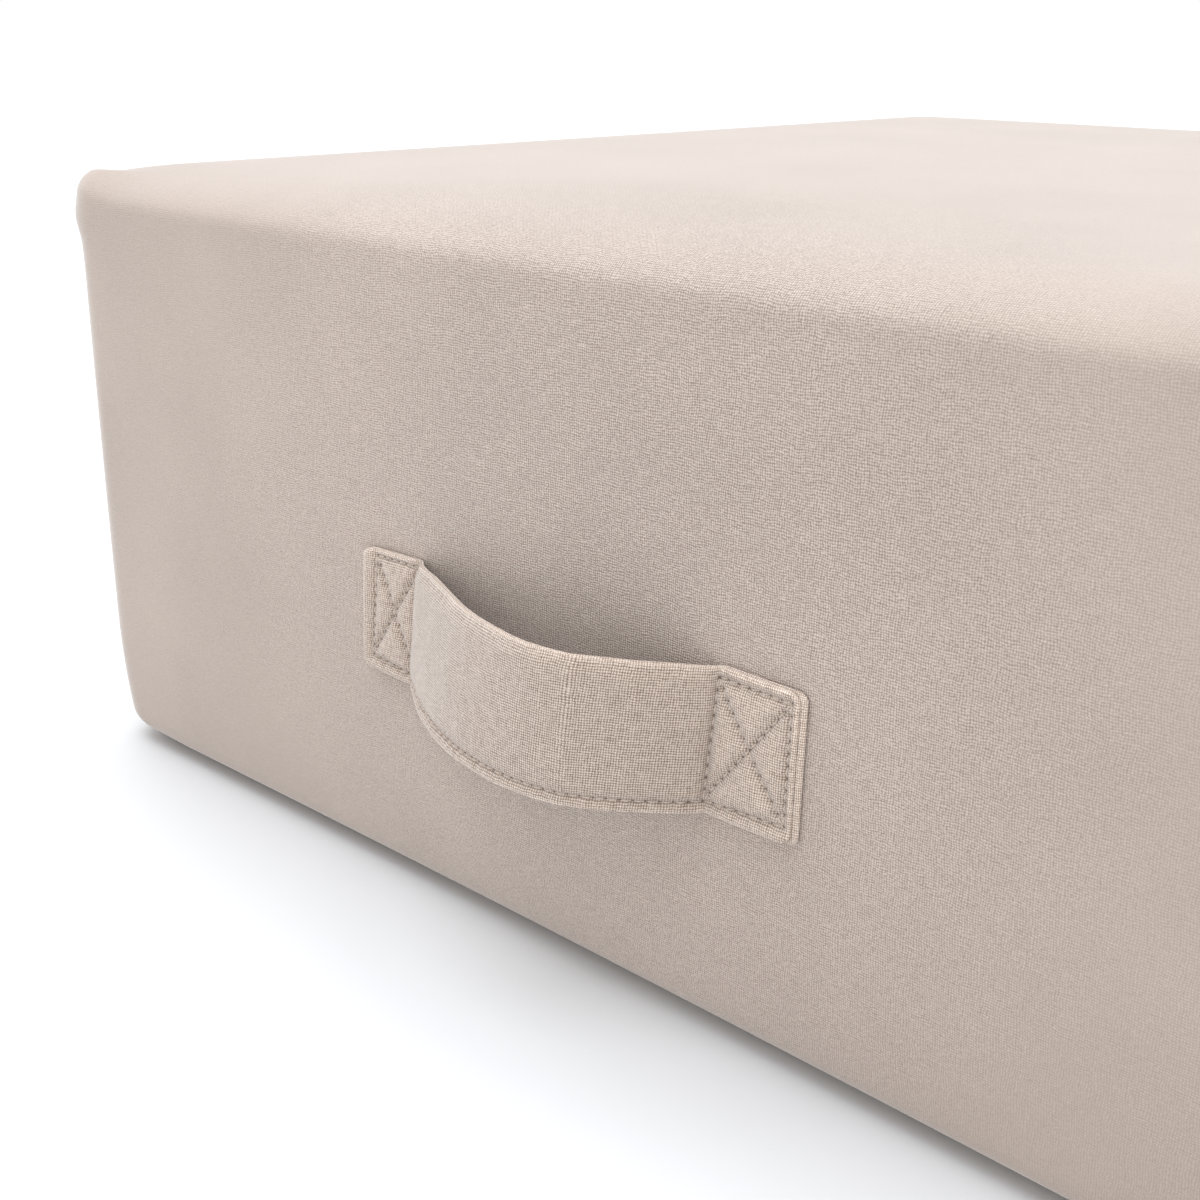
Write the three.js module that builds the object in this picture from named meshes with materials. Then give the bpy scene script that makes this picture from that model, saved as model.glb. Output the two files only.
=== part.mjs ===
// A jumping cushion for small children: a firm square foam block in a tight canvas cover,
// with one folded canvas carry handle sewn across the middle of one side.
// Millimetres. +Z is up, the origin is the centre of the flat underside, and the handle is on the -Y side.
import * as THREE from 'three';
import { mergeVertices } from 'three/addons/utils/BufferGeometryUtils.js';

// Driving dimensions of the cushion
const WIDTH = 600; // across the fullest part of the sides
const HEIGHT = 250; // from the underside to the top of the crown
const SIDE_BULGE = 4; // how far the middle of a side stands out past the corners
const TOP_CROWN = 2; // how far the middle of the top stands above its edges
const CORNER_RADIUS = 25; // of the upright corners, seen from above

// The rounded edges round the top and the underside: how far each reaches in along the sides and at the
// corners, and how far down or up
const TOP_EDGE = { inset: 44, cornerInset: 22, rise: 15 };
const BOTTOM_EDGE = { inset: 19, cornerInset: 22, rise: 13 };

// Driving dimensions of the carry handle
const STRAP_WIDTH = 48;
const STRAP_THICKNESS = 3;
const STRAP_HEIGHT = 108.5; // of the middle of the strap above the underside
const STRAP_GAP = 0.3; // between the sewn ends and the cover behind them
const END_RADIUS = 5; // of the four corners of the strap

// The strap from its left end to its right end, as sections square across it.
// along is the place on the side, and top and bottom are how far each long edge stands off the cover.
const STRAP_SECTIONS = [
  { along: -97, top: 0, bottom: 0 },
  { along: -84, top: 0, bottom: 0 },
  { along: -70, top: 0, bottom: 0 },
  { along: -58, top: 5.5, bottom: 7 },
  { along: -42, top: 12.5, bottom: 16.5 },
  { along: -24, top: 20, bottom: 24.4 },
  { along: -4, top: 26, bottom: 29.3 },
  { along: 12, top: 28.6, bottom: 30.4 },
  { along: 23, top: 28, bottom: 29.3 },
  { along: 34, top: 23.5, bottom: 25.8 },
  { along: 46, top: 14.5, bottom: 18 },
  { along: 58, top: 4.2, bottom: 7.5 },
  { along: 66, top: 0, bottom: 0 },
  { along: 76, top: 0, bottom: 0 },
  { along: 98, top: 0, bottom: 0 },
];

// How finely the pieces are divided
const SIDE_STEPS = 12; // along the straight part of each side
const CORNER_STEPS = 6; // round each upright corner
const EDGE_STEPS = 5; // over each rounded edge
const WALL_STEPS = 8; // up the sides
const CROWN_STEPS = 5; // from the top edge in to the middle
const STRAP_STEPS = 64;
const STRAP_ROWS = 4;
const MERGE_DISTANCE = 0.001; // points closer than this are one

const HALF = WIDTH / 2 - SIDE_BULGE; // from the middle to a side, before it bulges
const STRAIGHT = HALF - CORNER_RADIUS; // from the middle of a side to where its corner starts
const DIAGONAL = STRAIGHT + CORNER_RADIUS * Math.SQRT1_2; // to the middle of a corner

// How far the middle of a side stands out: most at the middle of its length and height
function bulgeAt(along, height) {
  return SIDE_BULGE * (1 - (along / DIAGONAL) ** 2) * Math.sin((Math.PI * height) / HEIGHT);
}

// The share of its full height that the cushion keeps at a place seen from above: all of it in the middle
function crownAt(place) {
  const across = Math.max(0, 1 - (place.x / HALF) ** 2);
  const deep = Math.max(0, 1 - (place.y / HALF) ** 2);
  return 1 - (TOP_CROWN / HEIGHT) * (1 - across * deep);
}

// The points of one side of the square as seen from above, from just past the middle of one corner to the
// middle of the next. Each has its place along the side, its distance out, the angle that it faces, and
// whether it belongs to a corner.
function sideOutline() {
  const points = [];
  for (let step = 1; step < SIDE_STEPS; step += 1) {
    points.push({ along: STRAIGHT * ((2 * step) / SIDE_STEPS - 1), out: HALF, angle: 0, corner: false });
  }
  const cornerHalf = CORNER_STEPS / 2;
  for (let step = 0; step <= cornerHalf; step += 1) {
    const angle = (Math.PI / 4) * (step / cornerHalf);
    const along = STRAIGHT + CORNER_RADIUS * Math.sin(angle);
    const out = STRAIGHT + CORNER_RADIUS * Math.cos(angle);
    points.push({ along, out, angle, corner: true });
    if (step < cornerHalf) {
      points.unshift({ along: -along, out, angle: -angle, corner: true });
    }
  }
  return points;
}

// The rings that the cushion is built from, from the middle of the underside to the middle of the top.
// share is how much of the outline a ring keeps, and inward is how much of its edge's inset it has.
function cushionRings() {
  const rings = [{ share: 0, edge: BOTTOM_EDGE, inward: 1, height: 0 }];
  for (let step = 0; step <= EDGE_STEPS; step += 1) {
    const turn = (Math.PI / 2) * (step / EDGE_STEPS);
    const height = BOTTOM_EDGE.rise * (1 - Math.cos(turn));
    rings.push({ share: 1, edge: BOTTOM_EDGE, inward: 1 - Math.sin(turn), height });
  }
  const wall = HEIGHT - TOP_EDGE.rise - BOTTOM_EDGE.rise;
  for (let step = 1; step < WALL_STEPS; step += 1) {
    const height = BOTTOM_EDGE.rise + (wall * step) / WALL_STEPS;
    rings.push({ share: 1, edge: TOP_EDGE, inward: 0, height });
  }
  for (let step = 0; step <= EDGE_STEPS; step += 1) {
    const turn = (Math.PI / 2) * (step / EDGE_STEPS);
    const height = HEIGHT - TOP_EDGE.rise * (1 - Math.sin(turn));
    rings.push({ share: 1, edge: TOP_EDGE, inward: 1 - Math.cos(turn), height });
  }
  for (let step = 1; step <= CROWN_STEPS; step += 1) {
    rings.push({ share: 1 - step / CROWN_STEPS, edge: TOP_EDGE, inward: 1, height: HEIGHT });
  }
  return rings;
}

// Merges the points that a geometry repeats along its seams, so that it is one closed body
function closed(geometry) {
  geometry.deleteAttribute('normal');
  geometry.deleteAttribute('uv');
  const body = mergeVertices(geometry, MERGE_DISTANCE);
  body.computeVertexNormals();
  return body;
}

// A lathe whose round sections are reshaped into the square ones of the cushion
function cushionGeometry() {
  const side = sideOutline();
  const rings = cushionRings();
  const profile = rings.map(({ share, height }) => new THREE.Vector2(share, height));
  const around = side.length * 4;
  const geometry = new THREE.LatheGeometry(profile, around);
  const places = geometry.getAttribute('position');
  const place = new THREE.Vector2();
  for (let index = 0; index < places.count; index += 1) {
    const turn = Math.floor(index / rings.length) % around;
    const { share, edge, inward, height } = rings[index % rings.length];
    const { along, out, angle, corner } = side[turn % side.length];
    const inset = inward * (corner ? edge.cornerInset : edge.inset);
    const bulge = bulgeAt(along, height);
    place.set(out + bulge - inset * Math.cos(angle), along - inset * Math.sin(angle));
    place.multiplyScalar(share);
    place.rotateAround(new THREE.Vector2(), (Math.PI / 2) * Math.floor(turn / side.length));
    places.setXYZ(index, place.x, place.y, height * crownAt(place));
  }
  return closed(geometry);
}

// The half width of the strap at a distance from its nearer end, where its corners are round
function strapHalfWidth(fromEnd) {
  const left = Math.max(0, END_RADIUS - fromEnd);
  return STRAP_WIDTH / 2 - END_RADIUS + Math.sqrt(END_RADIUS ** 2 - left ** 2);
}

// A flat strip that is bent to the strap's sections, over the bulge of the cover behind it
function strapGeometry() {
  const points = STRAP_SECTIONS.map(({ along, top, bottom }) => new THREE.Vector3(along, top, bottom));
  const route = new THREE.CatmullRomCurve3(points, false, 'centripetal');
  const length = route.getLength();
  const geometry = new THREE.BoxGeometry(1, 1, 1, STRAP_STEPS, 1, STRAP_ROWS);
  const places = geometry.getAttribute('position');
  for (let index = 0; index < places.count; index += 1) {
    const share = places.getX(index) + 0.5;
    const across = places.getZ(index);
    const at = route.getPointAt(share);
    const onward = route.getTangentAt(share);
    const fromEnd = length * Math.min(share, 1 - share);
    const height = STRAP_HEIGHT + 2 * across * strapHalfWidth(fromEnd);
    const lift = Math.max(0, THREE.MathUtils.lerp(at.z, at.y, across + 0.5));
    const slope = THREE.MathUtils.lerp(onward.z, onward.y, across + 0.5) / onward.x;
    const outward = new THREE.Vector2(-slope, 1).setLength(STRAP_THICKNESS * (0.5 - places.getY(index)));
    const cover = HALF + bulgeAt(at.x, height);
    places.setXYZ(index, at.x + outward.x, -(cover + STRAP_GAP + lift + outward.y), height);
  }
  return closed(geometry);
}

const canvas = { color: 0xc9bcb1, roughness: 0.9, metalness: 0 };

const cushion = new THREE.Mesh(cushionGeometry(), new THREE.MeshStandardMaterial(canvas));
cushion.name = 'cushion';

const handle = new THREE.Mesh(strapGeometry(), new THREE.MeshStandardMaterial(canvas));
handle.name = 'carry_handle';

const jumpingCushion = new THREE.Group();
jumpingCushion.add(cushion, handle);

export default jumpingCushion;
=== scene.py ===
"""The looks of a jumping cushion: a firm foam block in a tight canvas cover, and its canvas carry handle.

Everything is in metres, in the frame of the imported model: +Z up, the handle on the -Y side.
"""

import math
from collections import namedtuple
import bpy
import numpy as np
from mathutils import Matrix, Vector


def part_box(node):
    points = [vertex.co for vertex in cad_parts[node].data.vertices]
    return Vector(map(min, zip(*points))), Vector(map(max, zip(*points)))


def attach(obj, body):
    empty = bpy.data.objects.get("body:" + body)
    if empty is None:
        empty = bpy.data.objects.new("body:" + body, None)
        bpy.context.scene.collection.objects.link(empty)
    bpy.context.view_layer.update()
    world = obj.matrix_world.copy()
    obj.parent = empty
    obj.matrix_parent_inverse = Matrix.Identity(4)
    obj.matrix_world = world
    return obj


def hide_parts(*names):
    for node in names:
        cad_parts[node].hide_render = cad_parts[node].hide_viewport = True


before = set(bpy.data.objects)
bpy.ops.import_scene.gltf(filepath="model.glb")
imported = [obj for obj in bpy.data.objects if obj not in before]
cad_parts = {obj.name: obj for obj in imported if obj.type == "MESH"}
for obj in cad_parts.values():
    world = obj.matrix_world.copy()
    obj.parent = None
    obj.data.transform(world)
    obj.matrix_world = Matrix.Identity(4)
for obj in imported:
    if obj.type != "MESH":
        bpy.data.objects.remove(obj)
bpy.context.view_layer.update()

MM = 0.001

# The cushion: its size from its solid, and how its cover pulls it in and out
CUSHION_LOW, CUSHION_HIGH = (np.array(corner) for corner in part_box("cushion"))
HEIGHT = CUSHION_HIGH[2] - CUSHION_LOW[2]
SIDE_BULGE = 4.2 * MM  # how far the middle of a side stands out past the corners
TOP_CROWN = 1.8 * MM  # how far the middle of the top stands above the middles of its edges
EDGE_DROP = 0.9 * MM  # how far the middles of the top's edges hang below its corners
BASE_PULL = 3.6 * MM  # how far the middles of the bottom's edges are drawn in, past the corners
CORNER_PULL = 3.2 * MM  # how far the bottom's corners are drawn in
PULL_HEIGHT = 60 * MM  # how high up the sides that reaches
HALF = (CUSHION_HIGH[0] - CUSHION_LOW[0]) / 2 - SIDE_BULGE  # from the middle to a side, before it bulges

# Each edge is rounded as part of an ellipse: how far it reaches in from the side, and how far down or up
TOP_INSET, TOP_DROP = 46.5 * MM, 15.1 * MM
BASE_INSET, BASE_RISE = 18.8 * MM, 12.5 * MM
UPRIGHT_INSET = 22.1 * MM
EAR_DROP, FOOT_RISE = 11.7 * MM, 14.1 * MM  # at the top and the bottom corners
FRONT_EASE, SIDE_EASE = 45 * MM, 19 * MM  # from how far the top's front and side edges tighten to a corner
CORNER_START = 4 * MM  # and to how far
FOOT_EASE = 60 * MM  # from how far the bottom's edges do
LEVEL_EASE = 40 * MM  # how far from mid height the rounding of the bottom turns into that of the top
# A place has the rounding of the upright edges by how much nearer it is to one than to the top or the bottom:
# none of it up to the first, and all of it from the second
UPRIGHT_FROM, UPRIGHT_TO = -15 * MM, 25 * MM

# The ears at the top corners: how far round the corner they reach, how far out they stand, how far down that
# is and how tall, how far up they stand, and how far down the corner that fades
EAR_WIDTH = 16 * MM
EAR_OUT, EAR_OUT_DROP, EAR_OUT_HEIGHT = 3.1 * MM, 22.5 * MM, 8.2 * MM
EAR_UP, EAR_UP_HEIGHT = 2 * MM, 14 * MM
EARS = {(-1, -1): 1.0, (1, -1): 0.8, (1, 1): 0.6, (-1, 1): 0.7}  # how much of an ear each corner has

# The carry handle: its width from its solid
HANDLE_LOW, HANDLE_HIGH = (np.array(corner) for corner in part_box("carry_handle"))
STRAP_WIDTH = HANDLE_HIGH[2] - HANDLE_LOW[2]
STRAP_THICKNESS = 2.4 * MM  # pressed a little thinner than its solid
BEND = 2.2 * MM  # bends in cloth this thick are at least this soft
FACE_STEPS = (520, 120)  # how finely the strap's face is divided, along and across
STRAP_GAP = 0.3 * MM  # between the sewn ends and the cover
END_RADIUS = 4.5 * MM
UNDER_FOLD = 1.9 * MM  # how far the lower of the two folds shows past the upper one at the right end

# The strap's sections, closest where it bends, in millimetres: the place along the side of the middle of its
# width; how far its top and bottom edges stand off the cover; how high they lie; and how far its top leans to
# the right and its bottom to the left.
STRAP_SECTIONS = [
    (-97, 0, 0, 132, 87.2, 1.5),
    (-90, 0, 0, 132.3, 87, 2.8),
    (-69, 0, 0, 132.9, 86.3, 3.4),
    (-68, 0.6, 0.4, 132.8, 86.3, 3.4),
    (-64, 3.7, 3.3, 132.9, 85.7, 3.4),
    (-58, 6.8, 7.2, 133.4, 85, 3.3),
    (-50, 9.9, 12.3, 133.7, 84.4, 3),
    (-42, 13.3, 16.8, 133.5, 84.1, 2.9),
    (-33, 17, 21, 133.2, 83.9, 2.8),
    (-24, 20.6, 24.4, 132.8, 83.8, 2.7),
    (-14, 23.7, 27.5, 132.6, 83.8, 2.6),
    (-4, 26, 29.3, 132.6, 83.8, 2.5),
    (6, 28, 30.3, 132.6, 83.9, 2.5),
    (14, 28.7, 30.3, 132.7, 84, 2.4),
    (22, 28, 29.4, 132.7, 84, 2.4),
    (30, 26.2, 27.6, 132.6, 84.1, 2.3),
    (37, 21, 24.1, 132.2, 84.1, 2.3),
    (45, 15, 18.7, 131.6, 84.1, 2.2),
    (53, 7.8, 12.2, 131.1, 84.1, 2.2),
    (59, 3.2, 6.5, 130.9, 84.1, 2.2),
    (63.5, 0.4, 0.8, 131.2, 84, 2.2),
    (66, 0, 0, 131.8, 84, 2.1),
    (97.1, 0, 0, 131.2, 83.8, 0.8),
]

# Sewing
STITCH = 4 * MM
THREAD_RADIUS = 0.3 * MM
NEEDLE_HOLE = 0.37 * MM  # half the length of the hollow at the end of a stitch
SEWN_DEPTH, PRESSED_DEPTH = 0.75 * MM, 0.25 * MM  # how far cloth is drawn in by a row, or a pressed line
GROOVE_WIDTH, GROOVE_SPREAD = 1.2, 0.15  # of a row, and how much more at its needle holes, in millimetres
PUCKER = 0.16  # how far the cloth puckers beside a stitch, as a share of the row's depth
PUCKER_AWAY, PUCKER_WIDTH = 1.8 * MM, 1.7 * MM  # how far from the row that is, and how wide
PINCH_REACH = 6 * MM  # how far from a row it can make the strap thinner
FOLD_DEPTH = 1.1 * MM  # a groove this deep gets the full painted shade of a fold
PLUMP, WAVE = 0.8 * MM, 0.15 * MM  # how far the cloth swells between the rows, and waves there
PLUMP_AWAY = 3.4 * MM  # how far from a row it has nearly all of that
FALL_AWAY = 1.1 * MM  # how far the face falls away at the strap's edges
SHOWING = (0.13, 0.87)  # the part of a stitch that shows between its needle holes

# The boxes of stitching at the strap's ends: each corner's distance from that end of the strap, and its
# height from the strap's middle. Outer low and high corners first, then the inner ones.
LEFT_BOX = [(5.9, -18.4), (6.4, 21.6), (29.2, -20.4), (28.4, 21.4)]
RIGHT_BOX = [(4.4, -18.4), (4.7, 20.2), (34.2, -20.4), (32.6, 20.4)]
LEFT_PINCH, RIGHT_PINCH = 0.6 * MM, 0.4 * MM  # how much thinner the strap is where it leaves its sewn ends
BOW_ROW, BOW_PRESS = -19.7, 22.5  # the heights of the free part's row of stitching and its pressed edge


# ---------------------------------------------------------------- shape helpers


def smooth(value, low, high):
    """0 below low, 1 above high, and an easy curve between."""
    share = np.clip((value - low) / (high - low), 0, 1)
    return share * share * (3 - 2 * share)


def mix(first, second, share):
    """The value that lies a share of the way from the first to the second."""
    return first + (second - first) * share


def hump(distance, width):
    """A soft bump, 1 at the middle and nearly 0 at width."""
    return np.exp(-((1.5 * distance / width) ** 2))


def mesh_piece(name, points, faces, weave=None, marks=()):
    """An object from points and faces. weave gives each corner its place on the flat cloth, and marks are
    pairs of a name and a value from 0 to 1 for each point."""
    mesh = bpy.data.meshes.new(name)
    mesh.from_pydata(np.asarray(points).tolist(), [], [tuple(face) for face in faces])
    mesh.polygons.foreach_set("use_smooth", [True] * len(mesh.polygons))
    piece = bpy.data.objects.new(name, mesh)
    bpy.context.scene.collection.objects.link(piece)
    if weave is not None:
        layer = mesh.attributes.new("weave", "FLOAT_VECTOR", "CORNER")
        layer.data.foreach_set("vector", np.asarray(weave, dtype=np.float32).ravel())
    for mark, values in marks:
        mesh.attributes.new(mark, "FLOAT", "POINT").data.foreach_set("value", values)
    return piece


# ---------------------------------------------------------------- the cushion


def stops(length, edge=36 * MM, edge_steps=16, step=6.0 * MM):
    """Places across a face from -length/2 to length/2, closer together near its edges."""
    rim = np.linspace(0, edge, edge_steps + 1)
    inner = length - 2 * edge
    middle = edge + np.linspace(0, inner, max(2, round(inner / step)) + 1)
    return np.concatenate([rim, middle[1:-1], length - rim[::-1]]) - length / 2


def box_grid(across, up):
    """The points and four-sided faces of a box whose faces are divided at the given stops."""
    points, faces, panel_of, index = [], [], [], {}

    def corner(x, y, z):
        key = (round(x, 7), round(y, 7), round(z, 7))
        if key not in index:
            index[key] = len(points)
            points.append((x, y, z))
        return index[key]

    side, top = across[-1], up[-1]
    panels = [
        (across, across, lambda a, b: (a, b, top)),
        (across, across, lambda a, b: (-a, b, -top)),
        (across, up, lambda a, b: (a, -side, b)),
        (across, up, lambda a, b: (-a, side, b)),
        (across, up, lambda a, b: (side, a, b)),
        (across, up, lambda a, b: (-side, -a, b)),
    ]
    for panel, (first, second, place) in enumerate(panels):
        ids = [[corner(*place(a, b)) for b in second] for a in first]
        for i in range(len(first) - 1):
            for j in range(len(second) - 1):
                faces.append((ids[i][j], ids[i + 1][j], ids[i + 1][j + 1], ids[i][j + 1]))
                panel_of.append(panel)
    return np.array(points), faces, np.array(panel_of)


def side_bulge(along, height):
    """How far a side stands out at a place along it and a height."""
    share = np.clip(np.abs(along) / HALF, 0, 1)
    swell = SIDE_BULGE * (1 - share**2.5) * np.sin(math.pi * np.clip(height / HEIGHT, 0, 1))
    drawn_in = CORNER_PULL + BASE_PULL * (1 - share**2)
    return swell - drawn_in * np.clip(1 - height / PULL_HEIGHT, 0, 1) ** 2


def rounding(box):
    """How far the rounding of the edges reaches in from the sides, in from the front and back, and down or
    up, at each point of the sharp box."""
    inside = np.array([HALF, HALF, HEIGHT / 2]) - np.abs(box)
    upper = smooth(box[:, 2], -LEVEL_EASE, LEVEL_EASE)
    upright = smooth(inside[:, 2] - np.maximum(inside[:, 0], inside[:, 1]), UPRIGHT_FROM, UPRIGHT_TO)
    flat = mix(BASE_INSET, TOP_INSET, upper)
    near = [
        mix(1 - smooth(gone, 0, FOOT_EASE), 1 - smooth(gone, CORNER_START, ease), upper)
        for gone, ease in ((inside[:, 1], SIDE_EASE), (inside[:, 0], FRONT_EASE))
    ]
    insets = [mix(flat, UPRIGHT_INSET, np.maximum(upright, share)) for share in near]
    foot = 1 - smooth(np.max(inside, axis=1), 0, FOOT_EASE)
    rise = mix(mix(BASE_RISE, FOOT_RISE, foot), mix(TOP_DROP, EAR_DROP, near[0] * near[1]), upper)
    return np.stack([*insets, rise], axis=1)


def cushion_points(box):
    """Rounds, crowns and softens a sharp box, and stands it on its underside."""
    half = np.array([HALF, HALF, HEIGHT / 2])
    reach = rounding(box)
    inner = np.clip(box, reach - half, half - reach)
    outward = (box - inner) / reach
    points = inner + reach * outward / np.linalg.norm(outward, axis=1, keepdims=True)
    points[:, 2] += HEIGHT / 2
    # The sides stand out in their middles
    x, y, z = points.T
    share_x = np.clip(np.abs(x) / HALF, 0, 1)
    share_y = np.clip(np.abs(y) / HALF, 0, 1)
    x = x + np.sign(x) * smooth(share_x, 0.3, 1) * side_bulge(y, z)
    y = y + np.sign(y) * smooth(share_y, 0.3, 1) * side_bulge(x, z)
    # The top is crowned, and its edges hang a little between its corners
    edge_x, edge_y = share_x**2, share_y**2
    drop = TOP_CROWN * (1 - (1 - edge_x) * (1 - edge_y)) + EDGE_DROP * (edge_x + edge_y - 2 * edge_x * edge_y)
    z = z * (1 - drop / HEIGHT)
    points = np.stack([x, y, z], axis=1)
    # Each top corner stands out as a soft ear, where the cloth is gathered in
    for (right, back), share in EARS.items():
        gone = np.hypot(points[:, 0] - right * HALF, points[:, 1] - back * HALF)
        near = share * np.exp(-((gone / EAR_WIDTH) ** 2))
        down = HEIGHT - points[:, 2]
        out = EAR_OUT * near * np.exp(-(((down - EAR_OUT_DROP) / EAR_OUT_HEIGHT) ** 2))
        up = EAR_UP * near * np.exp(-((down / EAR_UP_HEIGHT) ** 2))
        points += np.stack([out * right * math.sqrt(0.5), out * back * math.sqrt(0.5), up], axis=1)
    points[:, 2] = np.maximum(points[:, 2], 0)
    return points


def arc(first, second, turn):
    """The length round a quarter of an ellipse, from the end of its second half axis, up to a turn, by
    Simpson's rule."""
    halfway = np.hypot(first * np.cos(turn / 2), second * np.sin(turn / 2))
    return turn / 6 * (first + 4 * halfway + np.hypot(first * np.cos(turn), second * np.sin(turn)))


def cloth_places(box, faces, panel_of):
    """Where each corner of each face lies on the cloth. The cloth runs on from the front over the top, under
    the bottom and round the sides, by its own length."""
    half = np.array([HALF, HALF, HEIGHT / 2])
    reach = rounding(box)
    flat = np.minimum(np.abs(box), half - reach)
    turn = np.arctan(np.maximum(np.abs(box) - half + reach, 0) / reach)
    eighth = math.pi / 4
    inset, rise = reach[:, :2], reach[:, 2:]
    # Across the top and bottom, round the upright faces, and up them, by x and by y
    over = (np.sign(box[:, :2]) * (flat[:, :2] + arc(inset, rise, turn[:, :2]))).T
    over_edge = (HALF - inset + arc(inset, rise, eighth)).T
    round_x, round_y = (np.sign(box[:, :2]) * (flat[:, :2] + inset * turn[:, :2])).T
    edge_x, edge_y = (HALF - inset + inset * eighth).T
    up = (np.sign(box[:, 2:]) * (flat[:, 2:] + arc(rise, inset, turn[:, 2:]))).T
    up_edge = (HEIGHT / 2 - rise + arc(rise, inset, eighth)).T
    runs = [
        (over[0], up_edge[1] + over_edge[1] + over[1]),
        (over[0], -up_edge[1] - over_edge[1] - over[1]),
        (round_x, up[1]),
        (2 * edge_x + 2 * edge_y - round_x, up[1]),
        (edge_x + edge_y + round_y, up[0]),
        (-edge_x - edge_y - round_y, up[0]),
    ]
    first = np.stack([run[0] for run in runs])
    second = np.stack([run[1] for run in runs])
    corners = np.asarray(faces)
    panels = panel_of[:, None]
    return np.stack([first[panels, corners], second[panels, corners], np.zeros(corners.shape)], axis=-1)


def make_cushion():
    box, faces, panel_of = box_grid(stops(2 * HALF), stops(HEIGHT))
    return mesh_piece("cover", cushion_points(box), faces, cloth_places(box, faces, panel_of))


# ---------------------------------------------------------------- the handle


class Strap:
    """The bent strap. Places on it are (s, w): along it from its left end, and up from its middle."""

    def __init__(self):
        rows = np.array(STRAP_SECTIONS, float) * MM
        self.along = np.linspace(rows[0, 0], rows[-1, 0], 800)
        count = int(BEND / (self.along[1] - self.along[0]))
        window = np.hanning(2 * count + 1)
        window /= window.sum()
        self.columns = []
        for values in rows.T[1:]:
            values = np.interp(self.along, rows[:, 0], values)
            self.columns.append(np.convolve(np.pad(values, count, mode="edge"), window, mode="valid"))
        middle = (self.columns[0] + self.columns[1]) / 2
        self.length_at = np.concatenate([[0], np.cumsum(np.hypot(np.diff(self.along), np.diff(middle)))])
        self.length = self.length_at[-1]

    def back(self, s, w):
        """Places on the back of the strap."""
        x = np.interp(s, self.length_at, self.along)
        at_x = [np.interp(x, self.along, column) for column in self.columns]
        lift_top, lift_bottom, top, bottom, lean = at_x
        share = w / STRAP_WIDTH + 0.5
        past = np.minimum(s, 0) + np.maximum(s - self.length, 0)
        x = x + past + lean * (2 * share - 1)
        z = mix(bottom, top, share)
        y = -(HALF + side_bulge(x, z) + STRAP_GAP + mix(lift_bottom, lift_top, share))
        return np.stack([x, y, z], axis=-1)

    def at(self, s, w, out):
        """Places at a distance out from the back of the strap, square to it."""
        step = 0.4 * MM
        ds = self.back(s + step, w) - self.back(s - step, w)
        dw = self.back(s, w + step) - self.back(s, w - step)
        normal = np.cross(ds, dw)
        normal /= np.linalg.norm(normal, axis=-1, keepdims=True)
        return self.back(s, w) + normal * np.asarray(out)[..., None]


def half_width(s, end):
    """Half the width of the strap's face at a place along it, less where its corners are round."""
    gone = np.maximum(0, END_RADIUS - np.minimum(s, end - s))
    return STRAP_WIDTH / 2 - END_RADIUS + np.sqrt(np.maximum(END_RADIUS**2 - gone**2, 0))


# A row of stitching, or a pressed line: where it starts and ends on the strap, how deep it is drawn in, and
# how much thinner the strap is beside it
Row = namedtuple("Row", "start end depth pinch")


def seam_rows(length):
    """The rows of stitching, and the line pressed along the top of the free part."""
    left = [(away * MM, up * MM) for away, up in LEFT_BOX]
    right = [(length - away * MM, up * MM) for away, up in RIGHT_BOX]
    sewn = []
    for (outer_low, outer_high, inner_low, inner_high), pinch in ((left, LEFT_PINCH), (right, RIGHT_PINCH)):
        sewn += [
            Row(outer_low, outer_high, SEWN_DEPTH, 0),
            Row(inner_low, inner_high, SEWN_DEPTH, pinch),
            Row(outer_low, inner_low, SEWN_DEPTH, 0),
            Row(outer_high, inner_high, SEWN_DEPTH, 0),
            Row(outer_low, inner_high, SEWN_DEPTH, 0),
            Row(inner_low, outer_high, SEWN_DEPTH, 0),
        ]
    ease = 12 * MM  # the bow's row reaches its height this far from the left box
    turning = (left[2][0] + ease, BOW_ROW * MM)
    sewn += [Row(left[2], turning, SEWN_DEPTH, 0), Row(turning, right[2], SEWN_DEPTH, 0)]
    pressed = [Row((left[3][0], BOW_PRESS * MM), (right[3][0], BOW_PRESS * MM), PRESSED_DEPTH, 0)]
    return sewn, pressed


def from_row(s, w, row):
    """How far places are from a row, and how far along it they are, in stitches."""
    (s0, w0), (s1, w1) = row.start, row.end
    run = math.hypot(s1 - s0, w1 - w0)
    along = np.clip(((s - s0) * (s1 - s0) + (w - w0) * (w1 - w0)) / run, 0, run)
    away = np.hypot(s - s0 - along * (s1 - s0) / run, w - w0 - along * (w1 - w0) / run)
    return away, along / run * stitch_count(row)


def stitch_count(row):
    return max(1, round(math.dist(row.start, row.end) / STITCH))


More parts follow.
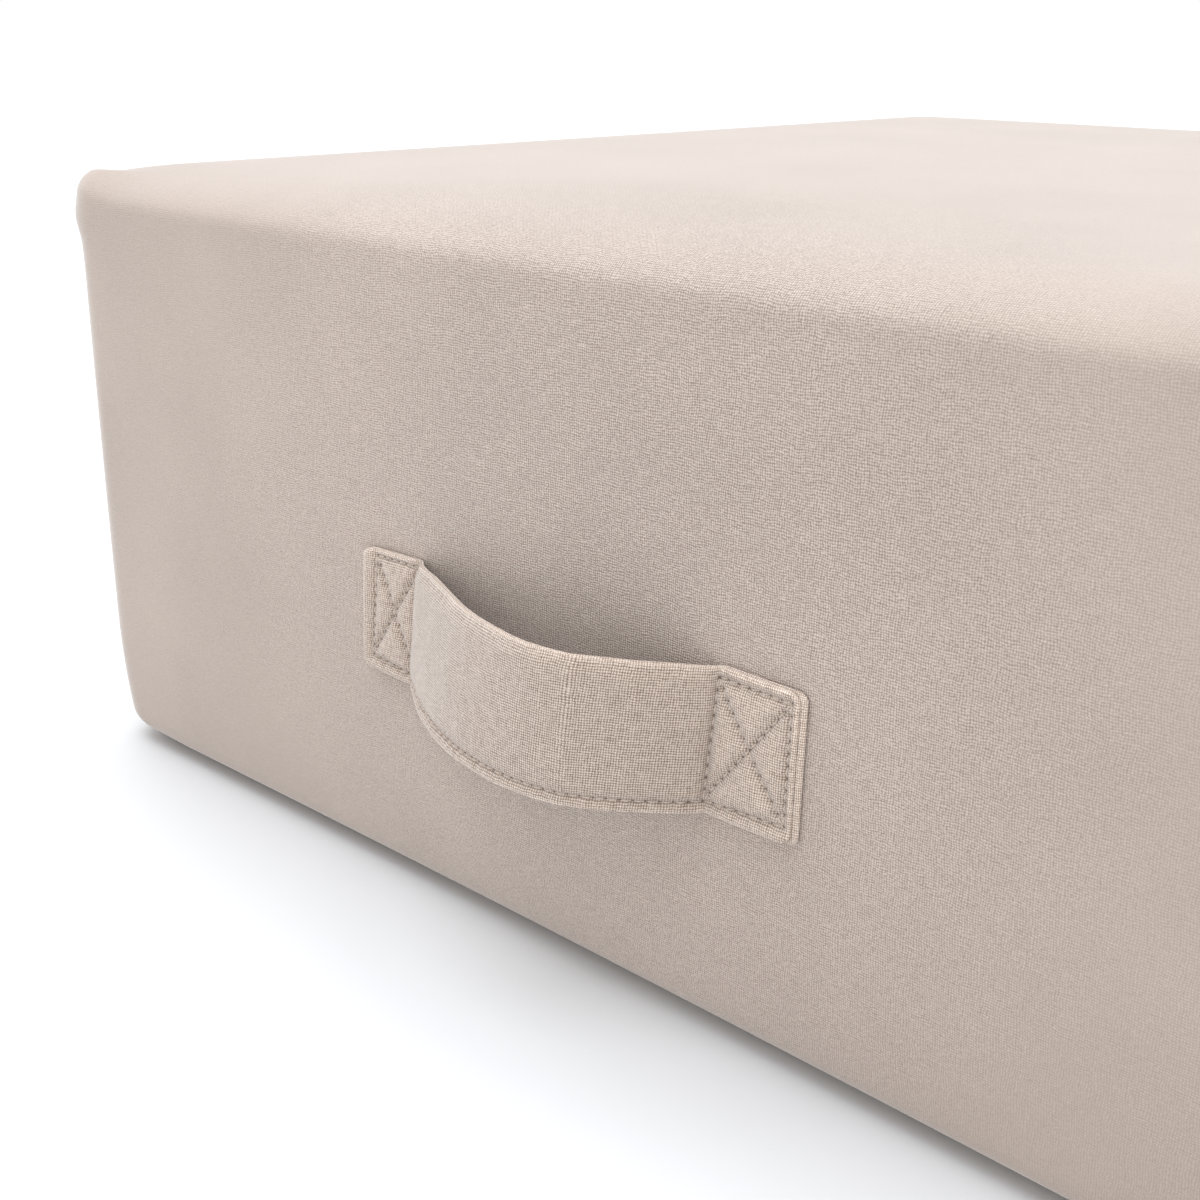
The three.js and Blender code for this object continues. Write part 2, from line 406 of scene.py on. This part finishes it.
def strap_relief(s, w, length, rows):
    """How far the face of the strap stands proud of its mean thickness, how deep it lies in a fold, which
    sets its painted shade, and how much paler it is painted, partly for wear and partly as painted highlight:
    plump between the rows of stitching, drawn in along them, puckered by each stitch, and rounded off and
    painted paler at the edges."""
    groove, pucker, pinch = np.zeros((3, *s.shape))
    plump = np.ones_like(s)
    for row in rows:
        away, stitches = from_row(s, w, row)
        beat = np.cos(2 * math.pi * stitches)  # 1 at the needle holes, -1 halfway between them
        deep = row.depth * (1 + 0.25 * beat)
        groove = np.maximum(groove, deep * hump(away, (GROOVE_WIDTH + GROOVE_SPREAD * beat) * MM))
        pucker = pucker + PUCKER * row.depth * beat * hump(away - PUCKER_AWAY, PUCKER_WIDTH)
        plump = np.minimum(plump, 1 - 0.95 * hump(away, PLUMP_AWAY))
        pinch = np.maximum(pinch, row.pinch * hump(away, PINCH_REACH))
    end = length - UNDER_FOLD
    edge = np.minimum(half_width(s, end) - np.abs(w), np.minimum(s, end - s))
    rounding_off = FALL_AWAY * (1 - smooth(edge, -0.8 * MM, 1.8 * MM))
    wave = WAVE * np.sin(s * 260 + w * 90) * np.sin(w * 210 - s * 60)  # about 25 mm long
    relief = PLUMP * plump + wave * plump - groove - pucker - pinch - rounding_off
    # The edges are painted paler, partly for wear and partly as painted highlight where light catches the
    # rim, most along the top; the sewn ends are painted a little paler too, as painted light on their plump
    # parts
    wear_and_highlight = hump(edge - 0.3 * MM, 1.5 * MM) * mix(0.6, 1, smooth(w, -5 * MM, 5 * MM))
    sewn_down = 1 - smooth(np.minimum(s, length - s), 28 * MM, 34 * MM)
    wear_and_highlight = np.maximum(wear_and_highlight, 0.35 * plump * sewn_down)
    # The painted shade of a groove, and the edges painted paler for wear and as painted highlight
    return relief, np.clip(groove / FOLD_DEPTH, 0, 1), wear_and_highlight


def make_strap(strap, rows):
    """The strap: its face as a fine grid, its edge as two folds of cloth, one on the other, and its back."""
    end = strap.length - UNDER_FOLD
    lobe = STRAP_THICKNESS / 4
    s_stops = np.linspace(lobe, end - lobe, FACE_STEPS[0])
    s_in, share = np.meshgrid(s_stops, np.linspace(-1, 1, FACE_STEPS[1]), indexing="ij")
    w_in = share * (half_width(s_in, end) - lobe)
    relief, painted_fold_shade, wear_and_highlight = strap_relief(s_in, w_in, strap.length, rows)
    ns, nw = s_in.shape
    ids = np.arange(ns * nw).reshape(ns, nw)
    points = [strap.at(s_in, w_in, STRAP_THICKNESS + relief).reshape(-1, 3)]
    weave = [np.stack([s_in.ravel(), w_in.ravel()], 1)]
    painted_fold_shades, wear_and_highlights = [painted_fold_shade.ravel()], [wear_and_highlight.ravel()]
    faces = np.stack([ids[:-1, :-1], ids[1:, :-1], ids[1:, 1:], ids[:-1, 1:]], -1).reshape(-1, 4).tolist()
    # Once round the edge: along the bottom, up the right end, back along the top and down the left end
    ring = np.concatenate([ids[:, 0], ids[-1, 1:], ids[-2::-1, -1], ids[0, -2:0:-1]])
    ring_s, ring_w = s_in.ravel()[ring], w_in.ravel()[ring]
    onward = np.stack([np.roll(place, -1) - np.roll(place, 1) for place in (ring_s, ring_w)], 1)
    onward /= np.linalg.norm(onward, axis=1, keepdims=True)
    out_s, out_w = onward[:, 1], -onward[:, 0]
    rim = relief.ravel()[ring]
    at_right = smooth(out_s, 0.2, 0.9)
    # Each step round the folds: how far out, how high, how much of the lower fold's reach, how plump, and how
    # much painted shade it gets, deep in the folds; the rest of the rim is painted paler, for wear and as
    # painted highlight
    steps = []
    for turn in np.linspace(0, math.pi, 8)[1:-1]:
        steps.append((lobe * math.sin(turn), 3 * lobe + lobe * math.cos(turn), 0, 0, 0.8 * (turn > 2)))
    for reach, swell in ((0.1, 0), (0.3, 0.25), (0.6, 0.35), (0.85, 0.25)):
        level = 2 * lobe - 0.1 * lobe * reach
        steps.append((0.2 * lobe * reach, level, reach, swell * MM, 0.8 * (reach < 0.3)))
    for turn in np.linspace(0.45, math.pi, 8):
        steps.append((lobe * math.sin(turn), lobe + lobe * math.cos(turn), 1, 0, float(turn > 2)))
    last, count = ring, ns * nw
    for reach, level, share, swell, deep in steps:
        reach = reach + share * UNDER_FOLD * at_right
        level = level + rim * max(0, level / STRAP_THICKNESS - 0.5) * 2 + swell * at_right
        level_out = np.maximum(level, 0.06 * MM)
        points.append(strap.at(ring_s + out_s * reach, ring_w + out_w * reach, level_out))
        around = reach + STRAP_THICKNESS - level
        weave.append(np.stack([ring_s + out_s * around, ring_w + out_w * around], 1))
        # Painted shade deep in the folds; the rest of the rim painted paler, for wear and as painted
        # highlight
        painted_fold_shades.append(np.full(len(ring), float(deep)))
        wear_and_highlights.append(np.full(len(ring), 0.7 * (1 - float(deep))))
        now = count + np.arange(len(ring))
        faces += np.stack([last, now, np.roll(now, -1), np.roll(last, -1)], -1).tolist()
        last, count = now, count + len(ring)
    # The back spans from the bottom edge straight to the top edge
    low = last[:ns]
    high = last[ns + nw - 2 : 2 * ns + nw - 2][::-1]
    right_end, left_end = last[ns : ns + nw - 2], last[2 * ns + nw - 2 :]
    faces += np.stack([low[1:-2], high[1:-2], high[2:-1], low[2:-1]], -1).tolist()
    faces.append([low[0], *left_end[::-1], high[0], high[1], low[1]])
    faces.append([low[-2], high[-2], high[-1], *right_end[::-1], low[-1]])
    corners = np.concatenate([np.asarray(face) for face in faces])
    flat = np.pad(np.concatenate(weave)[corners], ((0, 0), (0, 1)))
    marks = [("painted_fold_shade", np.concatenate(painted_fold_shades)), ("wear_and_highlight", np.concatenate(wear_and_highlights))]
    return mesh_piece("handle_strap", np.concatenate(points), faces, flat, marks)


def make_stitches(strap, sewn, rows):
    """One tube of thread for each stitch, dipping into its holes at both ends."""
    points, faces = [], []
    sides, steps = 6, 7
    turns = np.arange(sides) * 2 * math.pi / sides
    arch = np.sin(np.linspace(0, math.pi, steps))
    for row in sewn:
        (s0, w0), (s1, w1) = row.start, row.end
        count = stitch_count(row)
        for number in range(count):
            shares = (number + np.linspace(*SHOWING, steps)) / count
            s, w = s0 + (s1 - s0) * shares, w0 + (w1 - w0) * shares
            relief = strap_relief(s, w, strap.length, rows)[0]
            middle = strap.at(s, w, STRAP_THICKNESS + relief + THREAD_RADIUS * (1.5 * arch - 0.6))
            onward = np.gradient(middle, axis=0)
            onward /= np.linalg.norm(onward, axis=1, keepdims=True)
            out = strap.at(s, w, np.ones(steps)) - strap.back(s, w)  # square to the strap, and 1 long
            beside = np.cross(out, onward)
            thick = THREAD_RADIUS * (0.45 + 0.55 * np.sqrt(arch))[:, None, None]
            rings = middle[:, None] + thick * (
                np.cos(turns)[None, :, None] * beside[:, None] + np.sin(turns)[None, :, None] * out[:, None]
            )
            base = len(points) * sides * steps
            points.append(rings.reshape(-1, 3))
            for k in range(steps - 1):
                for j in range(sides):
                    a, b = base + k * sides + j, base + k * sides + (j + 1) % sides
                    faces.append((a, b, b + sides, a + sides))
            faces.append(tuple(base + j for j in reversed(range(sides))))
            faces.append(tuple(base + (steps - 1) * sides + j for j in range(sides)))
    return mesh_piece("handle_stitches", np.concatenate(points), faces)


def make_needle_holes(strap, sewn, rows):
    """A small, slightly dished dark disc of painted shade where the thread goes down at each end of a stitch,
    closed under the face.
    """
    points, faces = [], []
    sides = 8
    turns = np.arange(sides) * 2 * math.pi / sides
    for row in sewn:
        (s0, w0), (s1, w1) = row.start, row.end
        run = np.array([s1 - s0, w1 - w0])
        run /= np.linalg.norm(run)
        count = stitch_count(row)
        for number in range(count + 1):
            s = s0 + (s1 - s0) * number / count
            w = w0 + (w1 - w0) * number / count
            around_s = s + NEEDLE_HOLE * (np.cos(turns) * run[0] - 0.75 * np.sin(turns) * run[1])
            around_w = w + NEEDLE_HOLE * (np.cos(turns) * run[1] + 0.75 * np.sin(turns) * run[0])
            relief = strap_relief(np.append(around_s, s), np.append(around_w, w), strap.length, rows)[0]
            base = len(points) * (sides + 2)
            out = STRAP_THICKNESS + relief + np.append(np.full(sides, 0.1 * MM), 0.04 * MM)
            hollow = strap.at(np.append(around_s, s), np.append(around_w, w), out)
            under = strap.at(s, w, STRAP_THICKNESS + relief[-1] - 0.3 * MM)
            points.append(np.vstack([hollow, under]))
            for k in range(sides):
                onward = (k + 1) % sides
                faces.append((base + k, base + onward, base + sides))
                faces.append((base + onward, base + k, base + sides + 1))
    return mesh_piece("needle_holes", np.concatenate(points), faces)


# ---------------------------------------------------------------- materials

WAVE_TURN = 2 * math.pi / 20  # a wave texture repeats after this, over its scale

# How the canvas's threads wander: the size of each kind of wave, and how far it reaches for each unit of
# wander
WANDERS = ((16.67 * MM, 2.5), (3.846 * MM, 1.0), (1.111 * MM, 0.4))
SLUB_THICK, SLUB_LONG = 1.2 * MM, 5 * MM  # the size of a thicker stretch of thread
SLUB_HEIGHT = 0.34  # how far it stands up, in heights of the weave
MEAN_HEIGHT = 0.69  # of the cloth, in the same unit
WORN_AND_PAINTED_LIGHT_AT = tuple((HANDLE_LOW + HANDLE_HIGH) / 2 + np.array([5, 0, 30]) * MM)  # where hands brush the cover, and the middle of the cover's painted light
WORN_AND_PAINTED_LIGHT_NEAR, WORN_AND_PAINTED_LIGHT_FAR = 50 * MM, 200 * MM  # up to where it is wholly rubbed and painted palest, and from where not at all and painted darkest
PAINTED_LIGHT_TONE = 0.09  # painted light: how much paler the cover is painted where its weave is crisp, and darker where it is not
TONE_SIZE, TONE_RANGE = 71.43 * MM, 0.045  # broad changes of tone: how large, and how far they go each way
MARKS = (("painted_fold_shade", -0.14), ("wear_and_highlight", 0.42))  # how much painted shade darkens a groove or fold, and how much paler an edge is painted, for wear and as highlight
PLY = 0.6283 * MM  # from one turn of the sewing thread's ply to the next
MOTTLE = 0.6667 * MM  # the size of the mottling in a needle hole


def linear(colour):
    """A hex colour as linear red, green, blue and alpha."""
    parts = [int(colour[k : k + 2], 16) / 255 for k in (1, 3, 5)]
    return tuple(p / 12.92 if p <= 0.04045 else ((p + 0.055) / 1.055) ** 2.4 for p in parts) + (1.0,)


def add(tree, kind, inputs=(), **settings):
    """Adds a node with its settings, and its inputs set to values or linked to other nodes' outputs."""
    made = tree.nodes.new(kind)
    for name, value in settings.items():
        setattr(made, name, value)
    for socket, value in dict(inputs).items():
        if isinstance(value, bpy.types.NodeSocket):
            tree.links.new(value, made.inputs[socket])
        else:
            made.inputs[socket].default_value = value
    return made


def new_material(name):
    material = bpy.data.materials.new(name)
    material.use_nodes = True
    tree = material.node_tree
    tree.nodes.clear()
    return material, tree


def cotton_canvas(name, colour, pitch, relief, contrast, wander, pebbling, pressing):
    """Plain-woven cotton canvas, piece-dyed beige and pressed: matt, with a fine grid of round threads, a
    little unevenly spun, so that single threads read lighter or darker, and a faint bloom of loose fibre.

    pitch is the distance between threads, relief the height of the weave, contrast how much darker its gaps
    are, wander how far threads stray, and pebbling how uneven they are. pressing is how much more they show
    where the cloth is rubbed, and how much less where it isn't."""
    material, tree = new_material(name)
    flat = add(tree, "ShaderNodeAttribute", attribute_name="weave").outputs["Vector"]
    solid = add(tree, "ShaderNodeTexCoord").outputs["Object"]
    # Threads wander, gently over many threads and sharply from one to the next
    place = flat
    for size, share in WANDERS:
        noise = add(tree, "ShaderNodeTexNoise", {"Vector": solid, "Scale": 1 / size, "Detail": 1.0})
        inputs = {0: noise.outputs["Color"], 1: (0.5, 0.5, 0.5)}
        pull = add(tree, "ShaderNodeVectorMath", inputs, operation="SUBTRACT").outputs[0]
        inputs = {0: pull, "Scale": share * wander}
        pull = add(tree, "ShaderNodeVectorMath", inputs, operation="SCALE").outputs[0]
        place = add(tree, "ShaderNodeVectorMath", {0: place, 1: pull}, operation="ADD").outputs[0]
    inputs = {"Vector": place, "Scale": WAVE_TURN / pitch}
    warp = add(tree, "ShaderNodeTexWave", inputs, bands_direction="X").outputs["Fac"]
    weft = add(tree, "ShaderNodeTexWave", inputs, bands_direction="Y").outputs["Fac"]
    level = add(tree, "ShaderNodeVectorMath", {0: place, 1: (1, 1, 0)}, operation="MULTIPLY").outputs[0]
    over = add(tree, "ShaderNodeTexChecker", {"Vector": level, "Scale": 1 / pitch}).outputs["Fac"]
    height = add(tree, "ShaderNodeMix", {0: over, 2: warp, 3: weft}).outputs[0]
    both = add(tree, "ShaderNodeMath", {0: warp, 1: weft}, operation="MULTIPLY").outputs[0]
    height = add(tree, "ShaderNodeMix", {0: 0.6, 2: height, 3: both}).outputs[0]
    # Pebbling: yarn of uneven thickness, so that single crossings stand proud or sink
    pebble = add(tree, "ShaderNodeTexNoise", {"Vector": flat, "Scale": 1 / pitch, "Detail": 0.0})
    pebble = add(tree, "ShaderNodeMath", {0: pebble.outputs["Fac"], 1: -0.5}, operation="ADD").outputs[0]
    inputs = {0: pebble, 1: pebbling, 2: height}
    height = add(tree, "ShaderNodeMath", inputs, operation="MULTIPLY_ADD").outputs[0]
    # Slubs: stretches of thicker, paler thread along each direction
    for stretch in ((1 / SLUB_THICK, 1 / SLUB_LONG, 1), (1 / SLUB_LONG, 1 / SLUB_THICK, 1)):
        spun = add(tree, "ShaderNodeMapping", {"Vector": place, "Scale": stretch}).outputs[0]
        slub = add(tree, "ShaderNodeTexNoise", {"Vector": spun, "Scale": 1.0, "Detail": 1.0})
        inputs = {0: slub.outputs["Fac"], 1: SLUB_HEIGHT, 2: height}
        height = add(tree, "ShaderNodeMath", inputs, operation="MULTIPLY_ADD").outputs[0]
    # The nap is rubbed off by the hands that reach for the handle, so the threads show more crisply there
    away = add(tree, "ShaderNodeVectorMath", {0: solid, 1: WORN_AND_PAINTED_LIGHT_AT}, operation="DISTANCE").outputs["Value"]
    inputs = {"From Min": WORN_AND_PAINTED_LIGHT_NEAR, "From Max": WORN_AND_PAINTED_LIGHT_FAR, "To Min": 1 + pressing, "To Max": 1 - pressing}
    crisp = add(tree, "ShaderNodeMapRange", {"Value": away, **inputs}).outputs[0]
    height = add(tree, "ShaderNodeMath", {0: height, 1: MEAN_HEIGHT}, operation="SUBTRACT").outputs[0]
    height = add(tree, "ShaderNodeMath", {0: height, 1: crisp}, operation="MULTIPLY").outputs[0]
    # Light that is caught between the threads comes back darker and warmer
    base = np.array(linear(colour)[:3])
    gaps = (*(base * (1 - contrast * np.array([0.92, 1.02, 1.08]))), 1)
    threads = (*(base * (1 + 0.75 * contrast)), 1)
    raised = add(tree, "ShaderNodeMapRange", {"Value": height, "From Min": -0.4, "From Max": 0.4}).outputs[0]
    dyed = add(tree, "ShaderNodeMix", {0: raised, 6: gaps, 7: threads}, data_type="RGBA").outputs[2]
    # Broad, faint changes of tone, as on any large piece of dyed cloth
    tone = add(tree, "ShaderNodeTexNoise", {"Vector": solid, "Scale": 1 / TONE_SIZE, "Detail": 4.0})
    inputs = {"From Min": 0.3, "From Max": 0.7, "To Min": 1 - TONE_RANGE, "To Max": 1 + TONE_RANGE}
    tone = add(tree, "ShaderNodeMapRange", {"Value": tone.outputs["Fac"], **inputs}).outputs[0]
    # Painted light: the cover is painted paler near the handle and darker far from it, such as on the far
    # side of the top
    inputs = {0: crisp, 1: PAINTED_LIGHT_TONE, 2: 1 - PAINTED_LIGHT_TONE}
    painted_light = add(tree, "ShaderNodeMath", inputs, operation="MULTIPLY_ADD").outputs[0]
    shade = add(tree, "ShaderNodeMath", {0: tone, 1: painted_light}, operation="MULTIPLY").outputs[0]
    # Painted shade in the grooves and folds, and edges and sewn ends painted paler, for wear and as painted
    # highlight
    for mark, change in MARKS:
        there = add(tree, "ShaderNodeAttribute", attribute_name=mark).outputs["Fac"]
        inputs = {0: there, 1: change, 2: 1.0}
        there = add(tree, "ShaderNodeMath", inputs, operation="MULTIPLY_ADD").outputs[0]
        shade = add(tree, "ShaderNodeMath", {0: shade, 1: there}, operation="MULTIPLY").outputs[0]
    shaded = add(tree, "ShaderNodeVectorMath", {0: dyed, "Scale": shade}, operation="SCALE").outputs[0]
    bump = add(tree, "ShaderNodeBump", {"Height": height, "Distance": relief, "Strength": 1.0})
    cloth = add(
        tree,
        "ShaderNodeBsdfPrincipled",
        {
            "Base Color": shaded,
            "Normal": bump.outputs[0],
            "Roughness": 0.9,
            "IOR": 1.5,
            "Specular IOR Level": 0.1,
            "Sheen Weight": 0.5,
            "Sheen Roughness": 0.4,
        },
    )
    add(tree, "ShaderNodeOutputMaterial", {"Surface": cloth.outputs[0]})
    return material


def cotton_thread(name, colour):
    """Spun cotton sewing thread, a shade paler than the canvas: matt, with its ply just showing."""
    material, tree = new_material(name)
    place = add(tree, "ShaderNodeTexCoord").outputs["Object"]
    inputs = {"Vector": place, "Scale": WAVE_TURN / PLY, "Distortion": 2.0}
    ply = add(tree, "ShaderNodeTexWave", inputs, bands_direction="DIAGONAL").outputs["Fac"]
    shade = add(tree, "ShaderNodeMapRange", {"Value": ply, "To Min": 0.85, "To Max": 1.05}).outputs[0]
    inputs = {0: linear(colour)[:3], "Scale": shade}
    shaded = add(tree, "ShaderNodeVectorMath", inputs, operation="SCALE").outputs[0]
    bump = add(tree, "ShaderNodeBump", {"Height": ply, "Distance": 0.1 * MM, "Strength": 0.6})
    cloth = add(
        tree,
        "ShaderNodeBsdfPrincipled",
        {
            "Base Color": shaded,
            "Normal": bump.outputs[0],
            "Roughness": 0.8,
            "IOR": 1.5,
            "Specular IOR Level": 0.25,
        },
    )
    add(tree, "ShaderNodeOutputMaterial", {"Surface": cloth.outputs[0]})
    return material


def painted_shade_cloth(name, colour):
    """Painted shade for the hollows pushed in by the needle: the canvas coloured dark, a little mottled."""
    material, tree = new_material(name)
    place = add(tree, "ShaderNodeTexCoord").outputs["Object"]
    mottle = add(tree, "ShaderNodeTexNoise", {"Vector": place, "Scale": 1 / MOTTLE, "Detail": 2.0})
    inputs = {"Value": mottle.outputs["Fac"], "To Min": 0.7, "To Max": 1.3}
    shade = add(tree, "ShaderNodeMapRange", inputs).outputs[0]
    inputs = {0: linear(colour)[:3], "Scale": shade}
    shaded = add(tree, "ShaderNodeVectorMath", inputs, operation="SCALE").outputs[0]
    cloth = add(tree, "ShaderNodeBsdfPrincipled", {"Base Color": shaded, "Roughness": 0.95, "IOR": 1.5})
    add(tree, "ShaderNodeOutputMaterial", {"Surface": cloth.outputs[0]})
    return material


def white_floor():
    """Matt white painted board: an even, pale ground with no sheen."""
    material, tree = new_material("white_floor")
    paint = add(tree, "ShaderNodeBsdfPrincipled", {"Base Color": linear("#D6D7D8"), "Roughness": 0.8})
    add(tree, "ShaderNodeOutputMaterial", {"Surface": paint.outputs[0]})
    return material


# ---------------------------------------------------------------- camera, light and floor

LENS, FRAME = 51.28, 36.0  # focal length and width of the frame, in millimetres
CAMERA_AT = np.array([359.98, -650.3, 305.91]) * MM
CAMERA_TURN = (44.412, 20.282, 0.35)  # heading from +Y towards -X, dip and roll, in degrees
CAMERA_SHIFT = (0.0008, 0.0361)  # in widths of the frame

FLOOR_SIZE = 60  # metres

# Each light's heading, height and spread in degrees, its strength and its colour
LIGHTS = {
    "overhead": (0, 90, 60, 0.76, "#F2F7FF"),
    "left": (180, 40, 50, 0.2, "#FFFFFF"),
    "front_low": (310, 15, 40, 0.13, "#FFFFFF"),
}


def make_camera():
    heading, dip, roll = (math.radians(a) for a in CAMERA_TURN)
    forward = Vector((-math.sin(heading) * math.cos(dip), math.cos(heading) * math.cos(dip), -math.sin(dip)))
    right = Vector((math.cos(heading), math.sin(heading), 0))
    up = right.cross(forward)
    right, up = math.cos(roll) * right + math.sin(roll) * up, -math.sin(roll) * right + math.cos(roll) * up
    data = bpy.data.cameras.new("camera")
    data.sensor_width, data.lens = FRAME, LENS
    data.shift_x, data.shift_y = CAMERA_SHIFT
    data.clip_start, data.clip_end = 0.01, 200
    camera = bpy.data.objects.new("camera", data)
    bpy.context.scene.collection.objects.link(camera)
    axes = [right, up, -forward]
    camera.matrix_world = Matrix.Translation(CAMERA_AT) @ Matrix(axes).transposed().to_4x4()
    bpy.context.scene.camera = camera


def soft_light(name, heading, height, spread, strength, colour):
    """A broad, even light from far away. heading is from +X towards +Y."""
    heading, height = math.radians(heading), math.radians(height)
    level = math.cos(height)
    toward = Vector((math.cos(heading) * level, math.sin(heading) * level, math.sin(height)))
    data = bpy.data.lights.new(name, "SUN")
    data.energy = strength * math.pi
    data.color = linear(colour)[:3]
    data.angle = math.radians(spread)
    light = bpy.data.objects.new(name, data)
    light.rotation_euler = toward.to_track_quat("Z", "Y").to_euler()
    bpy.context.scene.collection.objects.link(light)


def make_studio():
    scene = bpy.context.scene
    scene.view_settings.view_transform = "Standard"
    scene.view_settings.look = "None"
    world = bpy.data.worlds.new("studio")
    scene.world = world
    world.use_nodes = True
    world.node_tree.nodes.clear()
    sky = add(world.node_tree, "ShaderNodeBackground", {"Color": (1, 1, 1, 1), "Strength": 1.0})
    add(world.node_tree, "ShaderNodeOutputWorld", {"Surface": sky.outputs[0]})
    for name, light in LIGHTS.items():
        soft_light(name, *light)
    bpy.ops.mesh.primitive_plane_add(size=FLOOR_SIZE)
    floor = bpy.context.object
    floor.name = "floor"
    floor.data.materials.append(white_floor())


# ---------------------------------------------------------------- assembly

make_camera()
make_studio()

canvas = cotton_canvas(
    "beige_canvas",
    "#B4A79D",
    pitch=0.8 * MM,
    relief=0.15 * MM,
    contrast=0.38,
    wander=1 * MM,
    pebbling=0.85,
    pressing=0.7,
)
strap_canvas = cotton_canvas(
    "strap_canvas",
    "#B4A79C",
    pitch=0.8 * MM,
    relief=0.15 * MM,
    contrast=0.6,
    wander=0.5 * MM,
    pebbling=0.5,
    pressing=0,
)
thread = cotton_thread("beige_thread", "#C9BAAE")

cover = make_cushion()
cover.data.materials.append(canvas)
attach(cover, "root")
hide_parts("cushion")

strap = Strap()
sewn, pressed = seam_rows(strap.length)
rows = sewn + pressed
handle = make_strap(strap, rows)
handle.data.materials.append(strap_canvas)
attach(handle, "root")
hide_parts("carry_handle")

stitches = make_stitches(strap, sewn, rows)
stitches.data.materials.append(thread)
holes = make_needle_holes(strap, sewn, rows)
# Painted shade: the needle holes are dark discs, coloured as the shade in them
holes.data.materials.append(painted_shade_cloth("needle_hole", "#7E6F64"))
for piece in (stitches, holes):
    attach(piece, "root")
